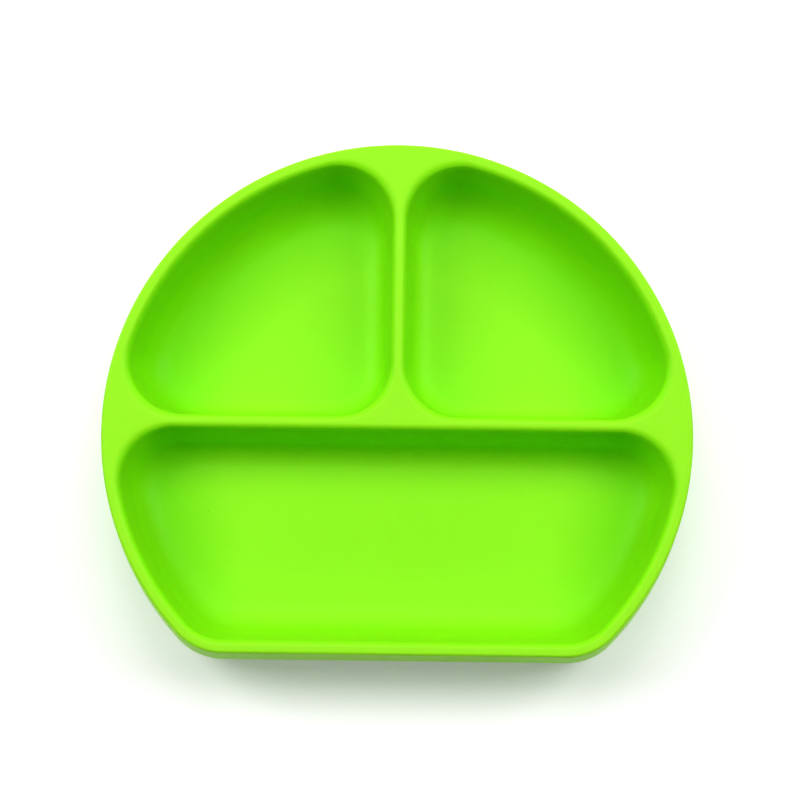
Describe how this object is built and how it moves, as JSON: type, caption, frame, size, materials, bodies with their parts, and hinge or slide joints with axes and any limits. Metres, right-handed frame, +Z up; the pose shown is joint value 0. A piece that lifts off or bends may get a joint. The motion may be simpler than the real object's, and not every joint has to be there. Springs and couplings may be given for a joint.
{
  "type": "divided suction plate",
  "caption": "Round silicone toddler plate with a flat front, sunken compartments parted by soft dividers, and a suction skirt under its base.",
  "frame": {"origin": "on the table, under the middle of the plate's bounding box; the suction skirt's contact ring lies in z = 0", "axes": "+X along the flat front to the right, +Y away from the flat front, +Z up"},
  "size_m": [0.215, 0.1877, 0.035],
  "materials": {
    "silicone": "smooth satin silicone, bright lime green"
  },
  "bodies": {
    "root": {"suction_plate": "silicone"}
  },
  "joints": []
}
